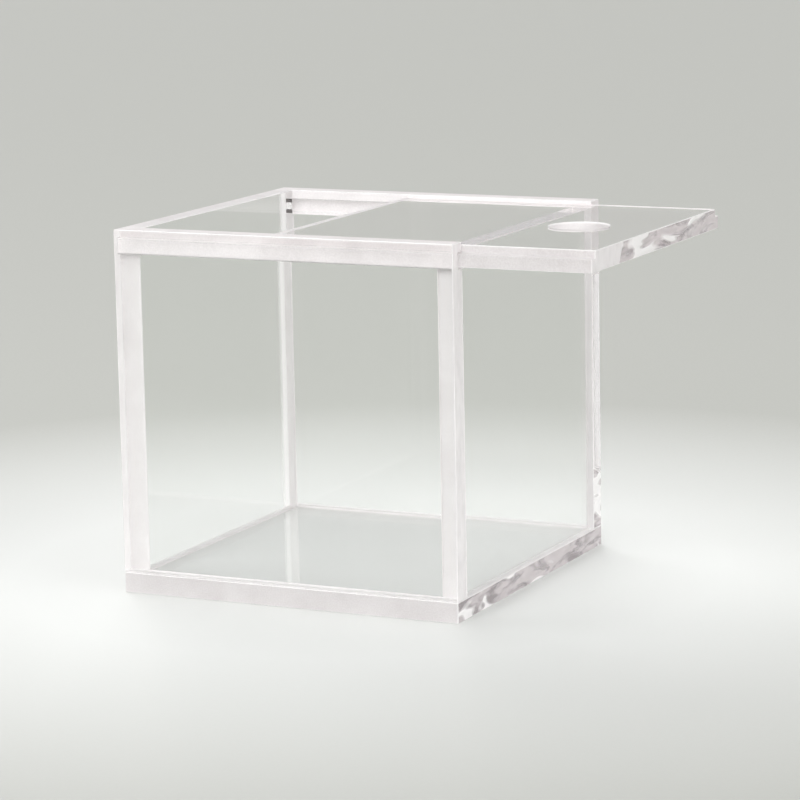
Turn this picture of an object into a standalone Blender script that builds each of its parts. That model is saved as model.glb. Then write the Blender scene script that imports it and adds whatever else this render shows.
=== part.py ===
"""Acrylic display cube with a sliding lid, built from six cut sheets.

Metres, +Z up. The origin is the centre of the underside, the front wall faces -Y, and
the lid slides along +X. It rests part open, LID_OPEN out of the closed position.
"""

import bmesh
import bpy
from mathutils import Vector

# Driving dimensions.
SIDE = 0.100  # outside length of every edge of the cube
SHEET = 0.0057  # cast sheet sold as 6 mm, which runs a little under
GAP = 0.0003  # left between pieces that touch
LID_OPEN = 0.037  # how far the lid stands open at rest
LID_RECESS = 0.0008  # the lid's top lies this far below the walls' tops
TONGUE_HEIGHT = 0.0036  # lower part of the lid's long edges, which runs in the grooves
GROOVE_DEPTH = 0.0024  # depth of the groove routed in the front and back walls
FINGER_HOLE = 0.016  # diameter of the hole in the lid
HOLE_FROM_END = 0.0225  # from the lid's pull end to the centre of its hole
EASED_EDGE = 0.0003  # the lid's edges are rubbed down so that it runs smoothly

# Worked out from them.
HALF = SIDE / 2
INSIDE = HALF - SHEET  # from the middle to a wall's inner face
FLOOR_TOP = SHEET
WALL_BOTTOM = FLOOR_TOP + GAP
LID_TOP = SIDE - LID_RECESS
LID_BOTTOM = LID_TOP - SHEET
TONGUE_TOP = LID_BOTTOM + TONGUE_HEIGHT
GROOVE_BOTTOM = LID_BOTTOM - GAP
GROOVE_TOP = TONGUE_TOP + GAP
LID_HALF_WIDTH = INSIDE - GAP  # the upper part, between the walls
TONGUE_HALF_WIDTH = INSIDE + GROOVE_DEPTH - GAP
LID_LENGTH = HALF + INSIDE - GAP
OVERCUT = 0.002  # how far a cutter runs past the face it opens

CLEAR_ACRYLIC = (0.93, 0.94, 0.94, 0.35)
CLEAR_LID = (0.95, 0.94, 0.94, 0.35)


def clear_scene():
    for obj in list(bpy.data.objects):
        bpy.data.objects.remove(obj, do_unlink=True)


def new_collection(name):
    collection = bpy.data.collections.new(name)
    bpy.context.scene.collection.children.link(collection)
    return collection


def acrylic(name, colour):
    """A polished clear sheet."""
    material = bpy.data.materials.new(name)
    material.use_nodes = True
    shader = material.node_tree.nodes["Principled BSDF"]
    shader.inputs["Base Color"].default_value = colour
    shader.inputs["Alpha"].default_value = colour[3]
    shader.inputs["Roughness"].default_value = 0.05
    shader.inputs["Metallic"].default_value = 0.0
    shader.inputs["IOR"].default_value = 1.49
    return material


def block(name, low, high, collection, origin=(0, 0, 0)):
    """A box between two world corners, with its object origin at a given point."""
    low, high, origin = Vector(low), Vector(high), Vector(origin)
    mesh = bpy.data.meshes.new(name)
    bm = bmesh.new()
    bmesh.ops.create_cube(bm, size=1.0)
    bmesh.ops.scale(bm, vec=high - low, verts=bm.verts)
    bmesh.ops.translate(bm, vec=(low + high) / 2 - origin, verts=bm.verts)
    bm.to_mesh(mesh)
    bm.free()
    obj = bpy.data.objects.new(name, mesh)
    obj.location = origin
    collection.objects.link(obj)
    return obj


def drill(name, centre, diameter, length, collection):
    """An upright cylinder, for cutting a round hole."""
    mesh = bpy.data.meshes.new(name)
    bm = bmesh.new()
    bmesh.ops.create_cone(
        bm,
        cap_ends=True,
        segments=64,
        radius1=diameter / 2,
        radius2=diameter / 2,
        depth=length,
    )
    bm.to_mesh(mesh)
    bm.free()
    obj = bpy.data.objects.new(name, mesh)
    obj.location = centre
    collection.objects.link(obj)
    return obj


def cut(obj, cutter):
    """Take the cutter's shape out of the object, and keep the cutter as a guide."""
    cutter.hide_render = True
    cutter.display_type = "WIRE"
    modifier = obj.modifiers.new(f"cut_{cutter.name}", "BOOLEAN")
    modifier.operation = "DIFFERENCE"
    modifier.solver = "EXACT"
    modifier.object = cutter


def ease_edges(obj):
    modifier = obj.modifiers.new("eased_edges", "BEVEL")
    modifier.width = EASED_EDGE
    modifier.segments = 2
    modifier.limit_method = "ANGLE"


def make_base(parts, material):
    base = block("base", (-HALF, -HALF, 0), (HALF, HALF, FLOOR_TOP), parts)
    base.data.materials.append(material)


def make_grooved_wall(name, side, parts, cutters, material):
    """The front (side -1) or back (side +1) wall, with the groove that holds the lid."""
    outer, inner = side * HALF, side * INSIDE
    wall = block(
        name,
        (-HALF, min(outer, inner), WALL_BOTTOM),
        (HALF, max(outer, inner), SIDE),
        parts,
    )
    wall.data.materials.append(material)
    groove_floor = side * (INSIDE + GROOVE_DEPTH)
    groove_mouth = side * (INSIDE - OVERCUT)
    groove = block(
        f"{name}_groove",
        (-HALF - OVERCUT, min(groove_floor, groove_mouth), GROOVE_BOTTOM),
        (HALF + OVERCUT, max(groove_floor, groove_mouth), GROOVE_TOP),
        cutters,
    )
    cut(wall, groove)


def make_end_wall(name, side, top, parts, material):
    """The closed end (side -1) or pull end (side +1) wall, between the grooved walls."""
    outer, inner = side * HALF, side * INSIDE
    wall = block(
        name,
        (min(outer, inner), -INSIDE + GAP, WALL_BOTTOM),
        (max(outer, inner), INSIDE - GAP, top),
        parts,
    )
    wall.data.materials.append(material)


def make_lid(parts, cutters, material):
    """The lid, whose upper part is stepped in along both long edges."""
    slide = bpy.data.objects.new("lid_slide_axis", None)
    slide.location = (LID_OPEN, 0, LID_BOTTOM)
    parts.objects.link(slide)

    pull_end = HALF + LID_OPEN
    closed_end = pull_end - LID_LENGTH
    lid = block(
        "sliding_lid",
        (closed_end, -TONGUE_HALF_WIDTH, LID_BOTTOM),
        (pull_end, TONGUE_HALF_WIDTH, LID_TOP),
        parts,
        origin=slide.location,
    )
    lid.data.materials.append(material)
    lid.parent = slide
    lid.location = (0, 0, 0)

    for name, side in (("front", -1), ("back", 1)):
        edges = sorted((side * LID_HALF_WIDTH, side * (TONGUE_HALF_WIDTH + OVERCUT)))
        step = block(
            f"lid_{name}_step",
            (closed_end - OVERCUT, edges[0], TONGUE_TOP),
            (pull_end + OVERCUT, edges[1], LID_TOP + OVERCUT),
            cutters,
        )
        cut(lid, step)

    hole_centre = (pull_end - HOLE_FROM_END, 0, (LID_BOTTOM + LID_TOP) / 2)
    hole = drill("lid_finger_hole", hole_centre, FINGER_HOLE, SHEET + 2 * OVERCUT, cutters)
    cut(lid, hole)
    ease_edges(lid)


def main():
    clear_scene()
    parts = new_collection("display_cube")
    cutters = new_collection("cutters")
    box_material = acrylic("clear_acrylic", CLEAR_ACRYLIC)
    lid_material = acrylic("clear_acrylic_lid", CLEAR_LID)
    make_base(parts, box_material)
    make_grooved_wall("front_wall", -1, parts, cutters, box_material)
    make_grooved_wall("back_wall", 1, parts, cutters, box_material)
    make_end_wall("closed_end_wall", -1, SIDE, parts, box_material)
    make_end_wall("pull_end_wall", 1, GROOVE_BOTTOM, parts, box_material)
    make_lid(parts, cutters, lid_material)


main()
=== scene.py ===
import math

import bmesh
import bpy
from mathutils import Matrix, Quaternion, Vector


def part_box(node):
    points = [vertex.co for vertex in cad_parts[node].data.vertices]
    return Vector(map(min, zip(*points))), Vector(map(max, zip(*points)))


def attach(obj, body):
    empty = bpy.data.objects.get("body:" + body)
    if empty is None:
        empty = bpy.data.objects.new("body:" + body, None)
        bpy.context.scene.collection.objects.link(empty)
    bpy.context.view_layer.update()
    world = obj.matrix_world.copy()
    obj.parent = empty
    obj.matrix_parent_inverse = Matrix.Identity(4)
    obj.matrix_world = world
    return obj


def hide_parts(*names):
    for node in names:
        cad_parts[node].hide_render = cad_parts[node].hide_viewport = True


# The looks of the display cube: six clear acrylic sheets, five of them cemented into a box and
# one that slides in its grooves. Everything is in metres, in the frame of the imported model.

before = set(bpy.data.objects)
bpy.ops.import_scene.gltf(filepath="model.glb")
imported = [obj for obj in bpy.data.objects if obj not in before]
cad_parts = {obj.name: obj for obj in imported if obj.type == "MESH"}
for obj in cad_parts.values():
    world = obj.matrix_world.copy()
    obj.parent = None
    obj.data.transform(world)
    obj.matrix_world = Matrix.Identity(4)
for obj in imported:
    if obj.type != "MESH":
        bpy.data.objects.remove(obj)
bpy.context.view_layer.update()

# The cube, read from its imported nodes.
BASE_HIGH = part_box("base")[1]
LID_LOW, LID_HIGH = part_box("sliding_lid")
HALF = BASE_HIGH.x
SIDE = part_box("front_wall")[1].z
SHEET = BASE_HIGH.z
INSIDE = HALF - SHEET

# The lid's step, its groove and its hole, which a node's box doesn't give.
GAP = 0.0003
TONGUE_HEIGHT = 0.0036
GROOVE_DEPTH = 0.0024
HOLE_RADIUS = 0.008
HOLE_FROM_END = 0.0225
HOLE_CHAMFER = 0.0004

GROOVE_BOTTOM = LID_LOW.z - GAP
GROOVE_TOP = LID_LOW.z + TONGUE_HEIGHT + GAP

# How the sheets are finished.
EASE = 0.00022  # the arrises are rubbed down this far
CORNER = 0.00026  # radius along a sheet's long edges, just over EASE
MILLED_CORNER = 0.0004  # left by the router in the grooves
JOINT = 0.00004  # the cement fills the rest of the gap between two sheets
WHITENED_WIDTH = 0.0046  # clouded by solvent beside the closed end's upright joints
WHITENED_FADE = 0.0021  # how far the clouding takes to reach its full strength
RIPPLES_END = 0.021  # height up to which the back wall's pull end is rippled
RIPPLES_SLANT = (0, 0.5, 1)  # the direction across that boundary
POLISH_END = 0.079  # height up to which that end is buffed
PAINTED_REFLECTION_HEIGHT = 0.0011  # height of each painted dark reflection at the back groove's end
BEAD = 0.0003  # the cement squeezed out along the inside of each joint
SATIN_END = -0.6  # where the lid's end changes from satin to rippled, in half widths
SATIN_SLANT = (0, 1, -0.5)  # the direction across that boundary

# How finely round shapes are divided.
ARC_STEPS = 3
BEAD_STEPS = 6
HOLE_STEPS = 144

# The acrylic, and how much of a lamp's light passes each kind of surface.
IOR = 1.49
THROUGH_FACE = 0.93
THROUGH_END = 0.9
THROUGH_MILKY = 0.6
CLEAR_BOX = (0.985, 0.99, 0.985)
CLEAR_LID = (0.99, 0.985, 0.985)
LID_UNMIRRORED = 0.85  # the share of the room's mirror image that the lid's faces lack

# The finishes, in the order of each sheet's material slots.
CLEAR, SAWN, CEMENTED, ARRIS, MILLED, SATIN = range(6)
BUFFED, RIPPLED, WHITENED, PAINTED_DARK_REFLECTION, FROSTED = range(6, 11)

# The studio.
BACKDROP = (0.57, 0.57, 0.57)
FLOOR_IN_PAINTED_POOL = (0.61, 0.62, 0.605)
FLOOR_BEYOND_POOL = (0.36, 0.365, 0.34)
PAINTED_POOL_FADE = (0.1, 0.26)  # from where to where the painted pool of light fades out, from the floor's middle
FLOOR_RADIUS = 8.0
FLOOR_GAP = 0.0001  # keeps the floor clear of the base's underside

# The camera, in degrees round the cube's middle, azimuth 0 in front and 90 to the right.
CENTRE = Vector((0, 0, SIDE / 2))
CAMERA_AZIMUTH = 26.1
CAMERA_ELEVATION = 10.2
CAMERA_DISTANCE = 9.27 * SIDE
CAMERA_ROLL = -1.1
LOOK_AT = Vector((0.0105, 0, 0.0485))
LENS = 150


# ---------------------------------------------------------------- shader helpers

def new_material(name):
    material = bpy.data.materials.new(name)
    material.use_nodes = True
    material.node_tree.nodes.clear()
    return material, material.node_tree


def add(tree, kind, inputs=None, **settings):
    """A node with its settings, and its inputs as constants or as another node's output."""
    node = tree.nodes.new(kind)
    for key, value in settings.items():
        setattr(node, key, value)
    for key, value in (inputs or {}).items():
        if isinstance(value, bpy.types.NodeSocket):
            tree.links.new(value, node.inputs[key])
        else:
            node.inputs[key].default_value = value
    return node


def place(tree, stretch=(1, 1, 1)):
    """The piece's own coordinates, in metres, stretched along each axis."""
    coordinates = add(tree, "ShaderNodeTexCoord")
    inputs = {"Vector": coordinates.outputs["Object"], "Scale": stretch}
    return add(tree, "ShaderNodeMapping", inputs).outputs["Vector"]


def noise(tree, scale, detail=3.0, stretch=(1, 1, 1), distortion=0.0):
    inputs = {
        "Vector": place(tree, stretch),
        "Scale": scale,
        "Detail": detail,
        "Distortion": distortion,
    }
    return add(tree, "ShaderNodeTexNoise", inputs).outputs["Fac"]


def between(tree, value, low, high, start=0.0, end=1.0):
    """Maps start..end of a value to low..high, held at both ends."""
    inputs = {"Value": value, "From Min": start, "From Max": end, "To Min": low, "To Max": high}
    return add(tree, "ShaderNodeMapRange", inputs).outputs["Result"]


def colour_between(tree, factor, first, second):
    """Mixes two colours, each a constant or another node's output."""
    inputs = {0: factor}
    for socket, colour in ((6, first), (7, second)):
        constant = not isinstance(colour, bpy.types.NodeSocket)
        inputs[socket] = (*colour, 1) if constant else colour
    return add(tree, "ShaderNodeMix", inputs, data_type="RGBA").outputs[2]


def bump(tree, height, distance, strength=1.0):
    inputs = {"Height": height, "Distance": distance, "Strength": strength}
    return add(tree, "ShaderNodeBump", inputs).outputs["Normal"]


def mix(tree, factor, first, second):
    return add(tree, "ShaderNodeMixShader", {0: factor, 1: first, 2: second}).outputs[0]


def maths(tree, operation, *values):
    inputs = dict(enumerate(values))
    return add(tree, "ShaderNodeMath", inputs, operation=operation).outputs[0]


def output(tree, surface):
    add(tree, "ShaderNodeOutputMaterial", {"Surface": surface})


def acrylic(tree, colour, roughness, normal):
    inputs = {
        "Base Color": colour,
        "Roughness": roughness,
        "IOR": IOR,
        "Transmission Weight": 1.0,
        "Normal": normal,
    }
    return add(tree, "ShaderNodeBsdfPrincipled", inputs).outputs["BSDF"]


def lit_through(tree, surface, share):
    """Lets lamps shine through the sheet, as they do through the real one."""
    path = add(tree, "ShaderNodeLightPath").outputs["Is Shadow Ray"]
    clear = add(tree, "ShaderNodeBsdfTransparent", {"Color": (share, share, share, 1)})
    return mix(tree, path, surface, clear.outputs["BSDF"])


# ---------------------------------------------------------------- materials

def clear_face(name, tint, unmirrored):
    """The sheet's own cast surface: flat and glossy, with a slight ripple and fine scratches.

    It mirrors less of the room than bare acrylic, by the share unmirrored, except where light
    inside the sheet is turned back whole.
    """
    material, tree = new_material(name)
    ripple = noise(tree, 45, detail=1.0)
    hairlines = noise(tree, 260, detail=6.0, stretch=(1, 14, 3), distortion=0.4)
    scratched = between(tree, hairlines, 0.0, 0.05, 0.62, 0.72)
    normal = bump(tree, ripple, 0.00003, 0.6)
    glass = acrylic(tree, (*tint, 1), scratched, normal)
    inputs = {"Color": (*tint, 1), "Roughness": scratched, "IOR": IOR, "Normal": normal}
    bent = add(tree, "ShaderNodeBsdfRefraction", inputs).outputs["BSDF"]
    mirrored = add(tree, "ShaderNodeFresnel", {"IOR": IOR}).outputs["Fac"]
    share = between(tree, mirrored, unmirrored, 0.0, 0.6, 0.95)
    output(tree, lit_through(tree, mix(tree, share, glass, bent), THROUGH_FACE))
    return material


def milky(name, shades, translucent, roughness, mark_scale, mark_stretch, mark_depth):
    """A cut edge: fine white frosting that lets some light into the sheet.

    The shades are its darkest and lightest colours, and the marks are what the tool left.
    """
    material, tree = new_material(name)
    clouds = noise(tree, 130, detail=4.0)
    grain = noise(tree, 2600, detail=2.0)
    cuts = noise(tree, mark_scale, detail=2.0, stretch=mark_stretch)
    shade = maths(tree, "ADD", clouds, grain)
    factor = between(tree, shade, 0.0, 1.0, 0.75, 1.25)
    colour = colour_between(tree, factor, *shades)
    height = maths(tree, "ADD", cuts, grain)
    normal = bump(tree, height, mark_depth, 0.7)
    inputs = {
        "Base Color": colour,
        "Roughness": between(tree, grain, roughness - 0.08, roughness + 0.1, 0.3, 0.7),
        "IOR": IOR,
        "Normal": normal,
    }
    front = add(tree, "ShaderNodeBsdfPrincipled", inputs).outputs["BSDF"]
    inputs = {"Color": colour, "Normal": normal}
    back = add(tree, "ShaderNodeBsdfTranslucent", inputs).outputs["BSDF"]
    output(tree, lit_through(tree, mix(tree, translucent, front, back), THROUGH_MILKY))
    return material


def buffed_end(name):
    """An end polished smooth enough to look along the inside of the sheet."""
    material, tree = new_material(name)
    ripple = noise(tree, 160, detail=2.0, stretch=(1, 1, 0.15))
    rough = between(tree, noise(tree, 500), 0.02, 0.07, 0.3, 0.7)
    normal = bump(tree, ripple, 0.0001, 0.6)
    glass = acrylic(tree, (0.97, 0.97, 0.975, 1), rough, normal)
    output(tree, lit_through(tree, glass, THROUGH_FACE))
    return material


def satin_end(name):
    """An end rubbed down but not polished: milky, with a little seen through it."""
    material, tree = new_material(name)
    grain = noise(tree, 2600, detail=2.0)
    clouds = noise(tree, 140, detail=3.0, stretch=(1, 1, 0.4))
    normal = bump(tree, grain, 0.00003, 0.7)
    glass = acrylic(tree, (0.98, 0.97, 0.975, 1), between(tree, grain, 0.12, 0.25), normal)
    inputs = {
        "Base Color": colour_between(tree, clouds, (0.74, 0.71, 0.715), (0.83, 0.81, 0.81)),
        "Roughness": between(tree, grain, 0.35, 0.5),
        "Normal": normal,
    }
    frost = add(tree, "ShaderNodeBsdfPrincipled", inputs).outputs["BSDF"]
    share = between(tree, clouds, 0.6, 0.9, 0.3, 0.65)
    output(tree, mix(tree, share, lit_through(tree, glass, THROUGH_END), frost))
    return material


def rippled_end(name):
    """A flame-polished end: soft ripples, with painted highlights along their crests and painted
    shade in the darker hollows between.
    """
    material, tree = new_material(name)
    waves = noise(tree, 105, detail=1.0, stretch=(1, 0.5, 1.7), distortion=1.1)
    fine = noise(tree, 240, detail=2.0, stretch=(1, 0.35, 1.4), distortion=0.5)
    normal = bump(tree, waves, 0.0012, 0.9)
    rough = between(tree, fine, 0.03, 0.14, 0.35, 0.7)
    glass = acrylic(tree, (0.95, 0.93, 0.94, 1), rough, normal)
    # Painted highlights: the ripples' crests are coloured near white.
    painted_highlight = between(tree, waves, 0.0, 1.0, 0.545, 0.635)
    shadow = between(tree, fine, 0.0, 1.0, 0.36, 0.54)
    # Painted shade: the hollows between the ripples are coloured dark.
    painted_hollow_shade = colour_between(tree, shadow, (0.15, 0.12, 0.13), (0.56, 0.51, 0.52))
    colour = colour_between(tree, painted_highlight, painted_hollow_shade, (0.9, 0.88, 0.88))
    inputs = {"Base Color": colour, "Roughness": 0.15, "IOR": IOR, "Normal": normal}
    # This frosted surface carries the painted highlights and the painted shade, over the crests
    # and the frosted patches.
    frost = add(tree, "ShaderNodeBsdfPrincipled", inputs).outputs["BSDF"]
    patches = between(tree, fine, 0.65, 0.85, 0.4, 0.6)
    share = maths(tree, "MAXIMUM", patches, painted_highlight)
    output(tree, mix(tree, share, lit_through(tree, glass, THROUGH_END), frost))
    return material


def whitened_face(name, tint):
    """A cast face that the solvent has clouded beside a joint, fading away from it along Y."""
    material, tree = new_material(name)
    coordinates = add(tree, "ShaderNodeTexCoord").outputs["Object"]
    across = add(tree, "ShaderNodeSeparateXYZ", {"Vector": coordinates}).outputs["Y"]
    from_middle = maths(tree, "ABSOLUTE", across)
    whitest = INSIDE - WHITENED_WIDTH + WHITENED_FADE
    clouding = between(tree, from_middle, 0.0, 0.85, INSIDE - WHITENED_WIDTH, whitest)
    grain = noise(tree, 2600, detail=2.0)
    normal = bump(tree, grain, 0.00001, 0.5)
    glass = acrylic(tree, (*tint, 1), between(tree, grain, 0.0, 0.05), normal)
    colour = colour_between(tree, grain, (0.88, 0.865, 0.865), (0.96, 0.95, 0.95))
    front = add(tree, "ShaderNodeBsdfDiffuse", {"Color": colour, "Normal": normal}).outputs["BSDF"]
    back = add(tree, "ShaderNodeBsdfTranslucent", {"Color": colour}).outputs["BSDF"]
    clouded = mix(tree, 0.5, front, back)
    output(tree, mix(tree, clouding, lit_through(tree, glass, THROUGH_FACE), clouded))
    return material


def make_finishes(name, tint, unmirrored):
    """One sheet's finishes, in the order of CLEAR, SAWN, CEMENTED and so on.

    The numbers of a milky finish are the share of light that it passes on, its roughness, and
    the scale, stretch and depth of its tool marks.
    """
    sawn = ((0.65, 0.62, 0.62), (0.73, 0.705, 0.705))
    cemented = ((0.71, 0.685, 0.685), (0.78, 0.76, 0.76))
    arris = ((0.73, 0.71, 0.71), (0.83, 0.81, 0.81))
    milled = ((0.79, 0.765, 0.765), (0.87, 0.845, 0.845))
    # Near black, for the painted dark reflections at the back groove's end.
    painted_dark_reflection = ((0.02, 0.016, 0.015), (0.09, 0.075, 0.07))
    frosted = ((0.8, 0.775, 0.775), (0.88, 0.86, 0.86))
    even = (1, 1, 1)
    return [
        clear_face(f"{name}_face", tint, unmirrored),
        milky(f"{name}_sawn", sawn, 0.35, 0.42, 900, (1, 1, 6), 0.00004),
        milky(f"{name}_cemented", cemented, 0.35, 0.35, 300, even, 0.00001),
        milky(f"{name}_arris", arris, 0.2, 0.2, 700, even, 0.00001),
        milky(f"{name}_milled", milled, 0.25, 0.5, 1500, (9, 1, 1), 0.00003),
        satin_end(f"{name}_satin_end"),
        buffed_end(f"{name}_buffed_end"),
        rippled_end(f"{name}_rippled_end"),
        whitened_face(f"{name}_whitened", tint),
        # The painted dark reflection: a near-black frosting, not a mark on the sheet.
        milky(f"{name}_scorched", painted_dark_reflection, 0.1, 0.3, 900, even, 0.00002),
        milky(f"{name}_frosted", frosted, 0.6, 0.4, 900, (1, 6, 1), 0.00002),
    ]


# ---------------------------------------------------------------- meshes

def as_mesh(bm, name):
    mesh = bpy.data.meshes.new(name)
    bm.to_mesh(mesh)
    bm.free()
    return mesh


def show(name, data):
    """A new object in the scene."""
    obj = bpy.data.objects.new(name, data)
    bpy.context.scene.collection.objects.link(obj)
    return obj


def join_rings(bm, first, second):
    """Makes the faces between two rings of points, and returns them in order."""
    faces = []
    for index in range(len(first)):
        after = (index + 1) % len(first)
        corners = (first[index], first[after], second[after], second[index])
        faces.append(bm.faces.new(corners))
    return faces


def outline(corners):
    """A closed outline with rounded right-angled corners.

    Each corner is ((a, b), radius, finish of the corner, finish of the side after it). Returns
    the points, and the finish of the stretch from each point to the next.
    """
    points, finishes = [], []
    for index, (corner, radius, corner_finish, side_finish) in enumerate(corners):
        corner = Vector(corner)
        back = (Vector(corners[index - 1][0]) - corner).normalized()
        ahead = (Vector(corners[(index + 1) % len(corners)][0]) - corner).normalized()
        centre = corner + (back + ahead) * radius
        for step in range(ARC_STEPS + 1):
            turn = step / ARC_STEPS * math.pi / 2
            points.append(centre - (ahead * math.cos(turn) + back * math.sin(turn)) * radius)
            finishes.append(corner_finish if step < ARC_STEPS else side_finish)
    return points, finishes


def inset(points, distance):
    """The outline moved inwards by a distance. Its points run anticlockwise."""
    moved = []
    for index, point in enumerate(points):
        before = (point - points[index - 1]).normalized()
        after = (points[(index + 1) % len(points)] - point).normalized()
        inward = (Vector((-before.y, before.x)) + Vector((-after.y, after.x))).normalized()
        moved.append(point + inward * distance)
    return moved


def whole(finish):
    """An end with one finish all over."""
    return (), (finish,)


def level_cuts(*heights):
    """Level planes at these heights, to divide an upright end by."""
    return [((0, 0, height), (0, 0, 1)) for height in heights]


def divide(bm, face, cuts, finishes):
    """Cuts a flat face by planes, in order, and gives each part a finish."""
    rest = face
    for (point, normal), finish in zip(cuts, finishes):
        geometry = [rest, *rest.edges, *rest.verts]
        parts = bmesh.ops.bisect_plane(bm, geom=geometry, plane_co=point, plane_no=normal)
        faces = [part for part in parts["geom"] if isinstance(part, bmesh.types.BMFace)]
        ahead = Vector(normal)
        faces.sort(key=lambda part: ahead.dot(part.calc_center_median()))
        faces[0].material_index = finish
        rest = faces[-1]
    rest.material_index = finishes[-1]


def sheet_mesh(name, corners, start, end, ends, along):
    """Sweeps an outline from start to end along X or Y, with both ends' edges eased.

    Each of the two ends is the planes that divide it and the finish of each part.
    """
    points, finishes = outline(corners)
    rings = []
    for end_at, inwards in ((start, 1), (end, -1)):
        eased = []
        for step in range(ARC_STEPS + 1):
            turn = step / ARC_STEPS * math.pi / 2
            at = end_at + inwards * EASE * (1 - math.cos(turn))
            eased.append((at, inset(points, EASE * (1 - math.sin(turn)))))
        rings += eased if inwards > 0 else eased[::-1]
    bm = bmesh.new()
    rows = []
    for at, ring in rings:
        if along == "X":
            rows.append([bm.verts.new((at, p.x, p.y)) for p in ring])
        else:
            rows.append([bm.verts.new((p.x, at, p.y)) for p in ring])
    for row, (first, second) in enumerate(zip(rows, rows[1:])):
        on_end = row != ARC_STEPS
        for face, finish in zip(join_rings(bm, first, second), finishes):
            face.material_index = ARRIS if on_end else finish
    for row, (cuts, end_finishes) in zip((rows[0], rows[-1]), ends):
        divide(bm, bm.faces.new(row), cuts, end_finishes)
    bmesh.ops.recalc_face_normals(bm, faces=bm.faces)
    return as_mesh(bm, name)


def piece(name, mesh, finishes, body, node):
    for material in finishes:
        mesh.materials.append(material)
    obj = show(name, mesh)
    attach(obj, body)
    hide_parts(node)


# ---------------------------------------------------------------- the sheets

def make_base(finishes):
    corners = [
        ((-HALF, 0), CORNER, ARRIS, CLEAR),
        ((HALF, 0), CORNER, ARRIS, SAWN),
        ((HALF, SHEET), CORNER, ARRIS, CLEAR),
        ((-HALF, SHEET), CORNER, ARRIS, SAWN),
    ]
    ends = (whole(SAWN), whole(RIPPLED))
    mesh = sheet_mesh("floor_sheet", corners, -HALF, HALF, ends, "X")
    piece("floor_sheet", mesh, finishes, "box", "base")


def make_grooved_wall(name, node, side, pull_end, finishes):
    """The front (side -1) or back (side +1) wall, with the groove milled in its inner face."""
    bottom = SHEET + JOINT
    groove_floor = side * (INSIDE + GROOVE_DEPTH)
    inner, outer = side * INSIDE, side * HALF
    corners = [
        ((inner, bottom), CORNER, ARRIS, CEMENTED),
        ((outer, bottom), CORNER, ARRIS, CLEAR),
        ((outer, SIDE), CORNER, ARRIS, SAWN),
        ((inner, SIDE), CORNER, ARRIS, MILLED),
        ((inner, GROOVE_TOP), CORNER, ARRIS, MILLED),
        ((groove_floor, GROOVE_TOP), MILLED_CORNER, ARRIS, MILLED),
        ((groove_floor, GROOVE_BOTTOM), MILLED_CORNER, ARRIS, MILLED),
        ((inner, GROOVE_BOTTOM), CORNER, ARRIS, CLEAR),
    ]
    if side < 0:
        corners = turned_round(corners)
    mesh = sheet_mesh(name, corners, -HALF, HALF, (whole(FROSTED), pull_end), "X")
    piece(name, mesh, finishes, "box", node)


def turned_round(corners):
    """The same outline run the other way, each side keeping its finish."""
    ahead = [corners[index - 1][3] for index in range(len(corners))]
    turned = [(c[0], c[1], c[2], a) for c, a in zip(corners, ahead)]
    return turned[::-1]


def make_end_wall(name, node, side, top, finishes):
    """The closed end (side -1) or pull end (side +1) wall, cemented between the other two.

    The closed end's wall is as high as the others, so the grooves run past its edges and
    leave a window there without cement. Its outer face is clouded beside both joints. The pull
    end's wall has a buffed top edge, which shows little through the lid.
    """
    low, high = sorted((side * HALF, side * INSIDE))
    bottom = SHEET + JOINT
    closed = side < 0
    corners = [
        ((low, bottom), CORNER, ARRIS, CEMENTED),
        ((high, bottom), CORNER, ARRIS, CLEAR),
        ((high, top), CORNER, ARRIS, SAWN if closed else BUFFED),
        ((low, top), CORNER, ARRIS, CLEAR),
    ]
    ends = (whole(CEMENTED), whole(CEMENTED))
    if closed:
        clean = (level_cuts(GROOVE_BOTTOM, GROOVE_TOP), (CEMENTED, BUFFED, CEMENTED))
        # At the back groove's end the window's top and bottom are painted dark, as a painted dark
        # reflection.
        painted_reflection_low, painted_reflection_high = GROOVE_BOTTOM + PAINTED_REFLECTION_HEIGHT, GROOVE_TOP - PAINTED_REFLECTION_HEIGHT
        marks = level_cuts(GROOVE_BOTTOM, painted_reflection_low, painted_reflection_high, GROOVE_TOP)
        ends = (clean, (marks, (CEMENTED, PAINTED_DARK_REFLECTION, BUFFED, PAINTED_DARK_REFLECTION, CEMENTED)))
    mesh = sheet_mesh(name, corners, -INSIDE + JOINT, INSIDE - JOINT, ends, "Y")
    if closed:
        cloud_beside_joints(mesh)
    piece(name, mesh, finishes, "box", node)


def cloud_beside_joints(mesh):
    bm = bmesh.new()
    bm.from_mesh(mesh)
    outer = min(bm.faces, key=lambda face: face.calc_center_median().x - face.calc_area())
    clear_half = INSIDE - WHITENED_WIDTH
    along = (0, 1, 0)
    cuts = (((0, -clear_half, 0), along), ((0, clear_half, 0), along))
    divide(bm, outer, cuts, (WHITENED, CLEAR, WHITENED))
    bm.to_mesh(mesh)
    bm.free()


def hole_cutter():
    """A turned plug that widens at both faces of the lid, for a hole with chamfered rims."""
    centre = Vector((LID_HIGH.x - HOLE_FROM_END, 0, 0))
    past = HOLE_CHAMFER * 3
    profile = [
        (HOLE_RADIUS + past, LID_LOW.z - past + HOLE_CHAMFER),
        (HOLE_RADIUS, LID_LOW.z + HOLE_CHAMFER),
        (HOLE_RADIUS, LID_HIGH.z - HOLE_CHAMFER),
        (HOLE_RADIUS + past, LID_HIGH.z + past - HOLE_CHAMFER),
    ]
    turns = [2 * math.pi * step / HOLE_STEPS for step in range(HOLE_STEPS)]
    bm = bmesh.new()
    rows = []
    for radius, height in profile:
        ring = [centre + Vector((math.cos(t), math.sin(t), 0)) * radius for t in turns]
        rows.append([bm.verts.new((point.x, point.y, height)) for point in ring])
    for first, second in zip(rows, rows[1:]):
        join_rings(bm, first, second)
    for row in (rows[0], rows[-1]):
        bm.faces.new(row)
    bmesh.ops.recalc_face_normals(bm, faces=bm.faces)
    return show("hole_cutter", as_mesh(bm, "hole_cutter")), centre


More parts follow.
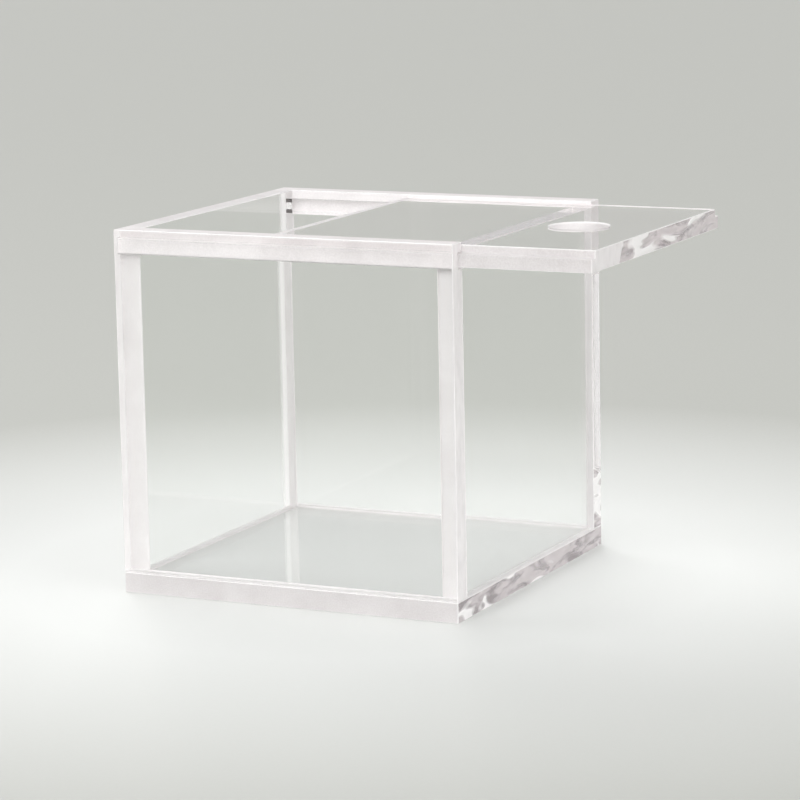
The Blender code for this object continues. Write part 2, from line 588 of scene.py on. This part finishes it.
def with_hole(mesh):
    """The lid's mesh with its finger hole cut, the hole's own faces smooth."""
    blank = show("lid_blank", mesh)
    cutter, centre = hole_cutter()
    modifier = blank.modifiers.new("hole", "BOOLEAN")
    modifier.operation = "DIFFERENCE"
    modifier.solver = "EXACT"
    modifier.object = cutter
    graph = bpy.context.evaluated_depsgraph_get()
    drilled = bpy.data.meshes.new_from_object(blank.evaluated_get(graph))
    drilled.name = mesh.name
    for obj in (blank, cutter):
        bpy.data.objects.remove(obj)
    for face in drilled.polygons:
        from_axis = (face.center - centre).xy.length
        level = abs(face.normal.z) > 0.9
        if from_axis < HOLE_RADIUS + 2 * HOLE_CHAMFER and not level:
            upright = abs(face.normal.z) < 0.1
            face.material_index = SAWN if upright else ARRIS
            face.use_smooth = True
    return drilled


def make_lid(finishes):
    step = LID_LOW.z + TONGUE_HEIGHT
    narrow = INSIDE - GAP
    wide = LID_HIGH.y
    corners = [
        ((-wide, LID_LOW.z), CORNER, ARRIS, CLEAR),
        ((wide, LID_LOW.z), CORNER, ARRIS, FROSTED),
        ((wide, step), CORNER, ARRIS, FROSTED),
        ((narrow, step), CORNER, FROSTED, FROSTED),
        ((narrow, LID_HIGH.z), CORNER, ARRIS, CLEAR),
        ((-narrow, LID_HIGH.z), CORNER, ARRIS, SAWN),
        ((-narrow, step), CORNER, SAWN, SAWN),
        ((-wide, step), CORNER, SAWN, SAWN),
    ]
    satin_end_at = (0, SATIN_END * wide, LID_LOW.z)
    pull_end = (((satin_end_at, SATIN_SLANT),), (SATIN, RIPPLED))
    ends = (whole(FROSTED), pull_end)
    blank = sheet_mesh("lid_sheet", corners, LID_LOW.x, LID_HIGH.x, ends, "X")
    piece("lid_sheet", with_hole(blank), finishes, "lid", "sliding_lid")


def make_cement_beads(finishes):
    """A thin bead of cement along the inside of every joint, as one piece of separate bodies."""
    bm = bmesh.new()
    near = INSIDE - JOINT
    floor = SHEET + JOINT
    top = LID_LOW.z - GAP - BEAD
    for x_side in (-1, 1):
        for y_side in (-1, 1):
            corner = Vector((x_side * near, y_side * near, 0))
            ends = (corner + Vector((0, 0, floor + BEAD)), corner + Vector((0, 0, top)))
            bead(bm, ends, Vector((-x_side, 0, 0)), Vector((0, -y_side, 0)))
    for x_side in (-1, 1):
        run = near - 2 * BEAD
        ends = (Vector((x_side * near, -run, floor)), Vector((x_side * near, run, floor)))
        bead(bm, ends, Vector((-x_side, 0, 0)), Vector((0, 0, 1)))
    for y_side in (-1, 1):
        run = near - 2 * BEAD
        ends = (Vector((-run, y_side * near, floor)), Vector((run, y_side * near, floor)))
        bead(bm, ends, Vector((0, -y_side, 0)), Vector((0, 0, 1)))
    bmesh.ops.recalc_face_normals(bm, faces=bm.faces)
    mesh = as_mesh(bm, "cement_beads")
    mesh.materials.append(finishes[CEMENTED])
    mesh.shade_smooth()
    mesh.set_sharp_from_angle(angle=math.radians(40))
    obj = show("cement_beads", mesh)
    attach(obj, "box")


def bead(bm, ends, first, second):
    """A concave fillet between two faces, from one end of a joint to the other."""
    lift = JOINT / 2
    section = [(first + second) * lift]
    for step in range(BEAD_STEPS + 1):
        turn = step / BEAD_STEPS * math.pi / 2
        away = first * (1 - math.sin(turn)) + second * (1 - math.cos(turn))
        section.append(away * BEAD + (first + second) * lift)
    rows = [[bm.verts.new(end + point) for point in section] for end in ends]
    join_rings(bm, *rows)
    for row in rows:
        bm.faces.new(row)


# ---------------------------------------------------------------- the studio

def make_floor():
    """A pale floor, a little lighter where the cube stands: a painted pool of light."""
    material, tree = new_material("pale_floor")
    coordinates = add(tree, "ShaderNodeTexCoord").outputs["Object"]
    away = add(tree, "ShaderNodeVectorMath", {0: coordinates}, operation="LENGTH").outputs["Value"]
    # The painted pool of light, fading out from the floor's middle.
    factor = between(tree, away, 0.0, 1.0, *PAINTED_POOL_FADE)
    colour = colour_between(tree, factor, FLOOR_IN_PAINTED_POOL, FLOOR_BEYOND_POOL)
    speckle = noise(tree, 900, detail=2.0)
    inputs = {
        "Base Color": colour,
        "Roughness": between(tree, speckle, 0.35, 0.45),
        "Specular IOR Level": 0.2,
    }
    output(tree, add(tree, "ShaderNodeBsdfPrincipled", inputs).outputs["BSDF"])
    bm = bmesh.new()
    bmesh.ops.create_circle(bm, cap_ends=True, segments=96, radius=FLOOR_RADIUS)
    mesh = as_mesh(bm, "floor")
    mesh.materials.append(material)
    floor = show("floor", mesh)
    floor.location.z = -FLOOR_GAP


def make_world():
    world = bpy.data.worlds.new("studio")
    world.use_nodes = True
    background = world.node_tree.nodes["Background"]
    background.inputs["Color"].default_value = (*BACKDROP, 1)
    background.inputs["Strength"].default_value = 1.0
    bpy.context.scene.world = world


def around(azimuth, elevation, distance):
    """A place so far from the cube's middle. Azimuth 0 is in front of it, 90 to its right."""
    turn, rise = math.radians(azimuth), math.radians(elevation)
    direction = Vector(
        (math.sin(turn) * math.cos(rise), -math.cos(turn) * math.cos(rise), math.sin(rise))
    )
    return CENTRE + direction * distance


def facing(obj, target):
    """The rotation that turns a lamp or a camera towards a place."""
    return (target - obj.location).to_track_quat("-Z", "Y")


def make_lamp(name, light, azimuth, elevation, distance):
    lamp = show(name, light)
    lamp.location = around(azimuth, elevation, distance)
    lamp.rotation_euler = facing(lamp, CENTRE).to_euler()
    return lamp


def softbox(name, azimuth, elevation, distance, size, power):
    """A square area light that faces the cube."""
    light = bpy.data.lights.new(name, "AREA")
    light.shape = "RECTANGLE"
    light.size = light.size_y = size
    light.energy = power
    make_lamp(name, light, azimuth, elevation, distance)


def soft_sun(name, azimuth, elevation, spread, strength, glare=True):
    """Even light over the whole scene, with soft shadows. Without glare it isn't mirrored.

    The sheets already let it through, so it isn't counted again where they bend it.
    """
    light = bpy.data.lights.new(name, "SUN")
    light.angle = math.radians(spread)
    light.energy = strength
    lamp = make_lamp(name, light, azimuth, elevation, 1.0)
    lamp.visible_glossy = glare
    lamp.visible_transmission = False


def make_lights():
    soft_sun("from_front", azimuth=4, elevation=35, spread=40, strength=2.15)
    soft_sun("from_right", azimuth=80, elevation=28, spread=50, strength=1.05)
    soft_sun("from_back_left", azimuth=-135, elevation=25, spread=50, strength=2.6, glare=False)
    softbox("top_left", azimuth=-67, elevation=60, distance=0.9, size=0.25, power=1.2)


def make_camera():
    camera = bpy.data.cameras.new("camera")
    camera.lens = LENS
    camera.clip_start = 0.01
    camera.clip_end = 50
    obj = show("camera", camera)
    obj.location = around(CAMERA_AZIMUTH, CAMERA_ELEVATION, CAMERA_DISTANCE)
    roll = Quaternion((0, 0, 1), math.radians(CAMERA_ROLL))
    obj.rotation_euler = (facing(obj, LOOK_AT) @ roll).to_euler()
    bpy.context.scene.camera = obj


def main():
    box_finishes = make_finishes("box", CLEAR_BOX, 0.0)
    lid_finishes = make_finishes("lid", CLEAR_LID, LID_UNMIRRORED)
    make_base(box_finishes)
    back_cuts = (((HALF, HALF, RIPPLES_END), RIPPLES_SLANT), *level_cuts(POLISH_END))
    back_end = (back_cuts, (RIPPLED, BUFFED, SAWN))
    make_grooved_wall("front_sheet", "front_wall", -1, whole(SATIN), box_finishes)
    make_grooved_wall("back_sheet", "back_wall", 1, back_end, box_finishes)
    make_end_wall("closed_end_sheet", "closed_end_wall", -1, SIDE, box_finishes)
    make_end_wall("pull_end_sheet", "pull_end_wall", 1, GROOVE_BOTTOM, box_finishes)
    make_lid(lid_finishes)
    make_cement_beads(box_finishes)
    make_floor()
    make_world()
    make_lights()
    make_camera()
    scene = bpy.context.scene
    scene.view_settings.view_transform = "Standard"
    scene.cycles.max_bounces = 28
    scene.cycles.glossy_bounces = 20
    scene.cycles.transmission_bounces = 28
    scene.cycles.transparent_max_bounces = 32


main()
